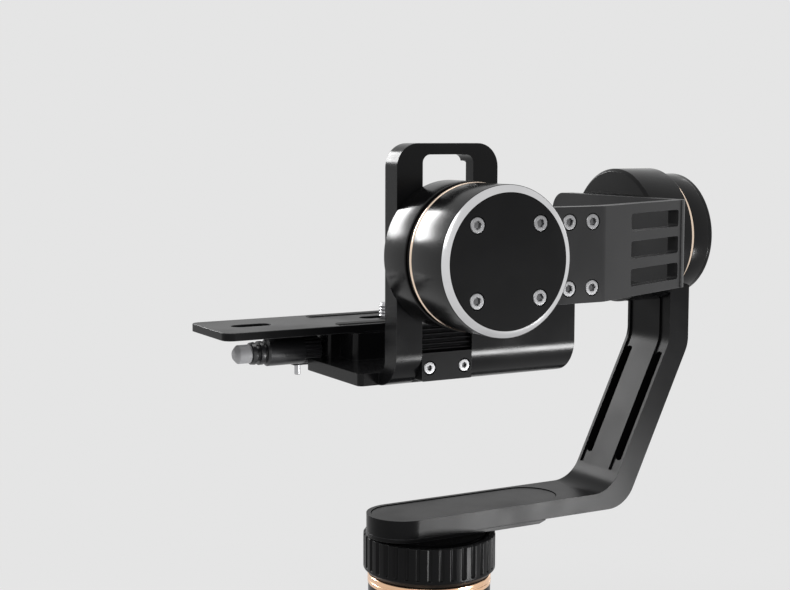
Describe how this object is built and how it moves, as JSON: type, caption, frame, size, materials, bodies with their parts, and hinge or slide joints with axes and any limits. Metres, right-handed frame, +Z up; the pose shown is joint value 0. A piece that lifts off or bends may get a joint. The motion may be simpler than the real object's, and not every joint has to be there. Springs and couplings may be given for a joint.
{
  "type": "handheld three-axis gimbal stabilizer",
  "caption": "Handheld three-axis camera stabilizer: round grip, pan arm, roll strap and tilt motor carrying a sliding camera bracket.",
  "frame": {"origin": "centre of the mouth of the tripod thread in the foot of the handle", "axes": "+Z up along the handle and the pan axis, +Y the way the lens looks, +X to the user's right, so the tilt motor is on the -X side"},
  "size_m": [0.1251, 0.212, 0.3754],
  "materials": {
    "black_anodised": "satin black anodised aluminium, fine grain",
    "gloss_black": "glossy black coated motor wall",
    "silver_bevel": "polished turned bevel",
    "rose_gold": "polished rose-gold anodised trim",
    "screw_steel": "bright steel",
    "grip_rubber": "matte soft-touch",
    "handle_metal": "fine matte black powder coat",
    "control_plastic": "matte",
    "button_plastic": "satin",
    "lamp_lens": "clear diffuser",
    "board_green": "solder mask",
    "brass_insert": "machined",
    "cell_wrap": "shrink wrap",
    "steel": "ground",
    "stator_iron": "laminated stack",
    "knob_metal": "turned",
    "pad_rubber": "matte"
  },
  "bodies": {
    "handle": {"handle_tube": "handle_metal", "grip_sleeve": "grip_rubber", "handle_head": "handle_metal", "copper_ring_top": "rose_gold", "copper_ring_middle": "rose_gold", "battery_cells": "cell_wrap", "upper_contact": "brass_insert", "control_pad": "control_plastic", "status_lamps": "lamp_lens", "main_board": "board_green", "usb_socket": "steel", "pan_motor_base": "gloss_black", "pan_stator": "stator_iron", "pan_bearings": "steel"},
    "battery_cap": {"battery_cap": "handle_metal", "tripod_insert": "brass_insert", "cap_contact": "brass_insert"},
    "lock_collar": {"lock_collar": "black_anodised"},
    "joystick_yoke": {"joystick_yoke": "button_plastic"},
    "joystick": {"joystick": "button_plastic"},
    "mode_button": {"mode_button": "button_plastic"},
    "power_button": {"power_button": "button_plastic"},
    "pan_arm": {"pan_rotor": "gloss_black", "pan_shaft": "steel", "pan_arm": "black_anodised", "arm_top_cover": "black_anodised", "arm_base_cover": "black_anodised", "arm_screws": "screw_steel", "roll_rear_cover": "gloss_black", "roll_trim_ring": "rose_gold", "roll_stator": "stator_iron", "roll_bearings": "steel"},
    "roll_rotor": {"roll_rotor": "gloss_black", "roll_shaft": "steel", "cross_clamp": "black_anodised", "clamp_screws": "screw_steel"},
    "roll_lock_knob": {"roll_lock_knob": "knob_metal"},
    "roll_arm": {"roll_strap": "black_anodised", "strap_screws": "screw_steel", "tilt_shell": "gloss_black", "tilt_bevel_ring": "silver_bevel", "tilt_face_cover": "black_anodised", "tilt_face_screws": "screw_steel", "tilt_trim_ring": "rose_gold", "tilt_stator": "stator_iron", "tilt_bearings": "steel"},
    "tilt_rotor": {"tilt_rotor": "gloss_black", "tilt_shaft": "steel", "height_slider": "black_anodised", "slider_screws": "screw_steel"},
    "height_lock": {"height_lock_screw": "steel"},
    "bracket": {"side_plate": "black_anodised", "slot_block": "black_anodised", "block_screws": "screw_steel", "slot_rack": "black_anodised", "stop_pin": "steel"},
    "plate_lock_knob": {"plate_lock_knob": "knob_metal"},
    "camera_plate": {"camera_plate": "black_anodised", "camera_plate_pads": "pad_rubber"},
    "camera_screw": {"camera_screw": "steel"}
  },
  "joints": [
    {"name": "battery_cap_turn", "type": "hinge", "parent": "handle", "child": "battery_cap", "pos_m": [0, 0, 0], "axis": [0, 0, 1], "range_deg": [-720, 0]},
    {"name": "lock_collar_turn", "type": "hinge", "parent": "handle", "child": "lock_collar", "pos_m": [0, 0, 0.212], "axis": [0, 0, 1], "range_deg": [-30, 30]},
    {"name": "joystick_up_down", "type": "hinge", "parent": "handle", "child": "joystick_yoke", "pos_m": [0, -0.0134, 0.184], "axis": [1, 0, 0], "range_deg": [-12, 12], "stiffness_Nm_per_rad": 0.03},
    {"name": "joystick_left_right", "type": "hinge", "parent": "joystick_yoke", "child": "joystick", "pos_m": [0, -0.0134, 0.184], "axis": [0, 0, 1], "range_deg": [-12, 12], "stiffness_Nm_per_rad": 0.03},
    {"name": "mode_press", "type": "slide", "parent": "handle", "child": "mode_button", "axis": [0, 1, 0], "range_m": [0, 0.0008], "stiffness_N_per_m": 400},
    {"name": "power_press", "type": "slide", "parent": "handle", "child": "power_button", "axis": [0, 1, 0], "range_m": [0, 0.0008], "stiffness_N_per_m": 400},
    {"name": "pan", "type": "hinge", "parent": "handle", "child": "pan_arm", "pos_m": [0, 0, 0.216], "axis": [0, 0, 1], "range_deg": [-180, 180]},
    {"name": "roll", "type": "hinge", "parent": "pan_arm", "child": "roll_rotor", "pos_m": [0, -0.1, 0.336], "axis": [0, 1, 0], "range_deg": [-160, 160]},
    {"name": "roll_lock_turn", "type": "hinge", "parent": "roll_rotor", "child": "roll_lock_knob", "pos_m": [0, -0.08, 0.336], "axis": [0, 1, 0], "range_deg": [0, 360]},
    {"name": "side_balance", "type": "slide", "parent": "roll_rotor", "child": "roll_arm", "axis": [1, 0, 0], "range_m": [-0.009, 0.009]},
    {"name": "tilt", "type": "hinge", "parent": "roll_arm", "child": "tilt_rotor", "pos_m": [-0.055, 0.021, 0.336], "axis": [1, 0, 0], "range_deg": [-160, 160]},
    {"name": "height_lock_turn", "type": "hinge", "parent": "tilt_rotor", "child": "height_lock", "pos_m": [-0.042, 0.021, 0.336], "axis": [1, 0, 0], "range_deg": [0, 360]},
    {"name": "height_balance", "type": "slide", "parent": "tilt_rotor", "child": "bracket", "axis": [0, 0, 1], "range_m": [-0.015, 0.012]},
    {"name": "plate_lock_turn", "type": "hinge", "parent": "bracket", "child": "plate_lock_knob", "pos_m": [0.014, 0.06, 0.2951], "axis": [0, 1, 0], "range_deg": [0, 720]},
    {"name": "fore_aft_balance", "type": "slide", "parent": "bracket", "child": "camera_plate", "axis": [0, 1, 0], "range_m": [-0.02, 0.004]},
    {"name": "camera_screw_turn", "type": "hinge", "parent": "camera_plate", "child": "camera_screw", "pos_m": [0.014, 0.012, 0.306], "axis": [0, 0, 1], "continuous": true}
  ]
}
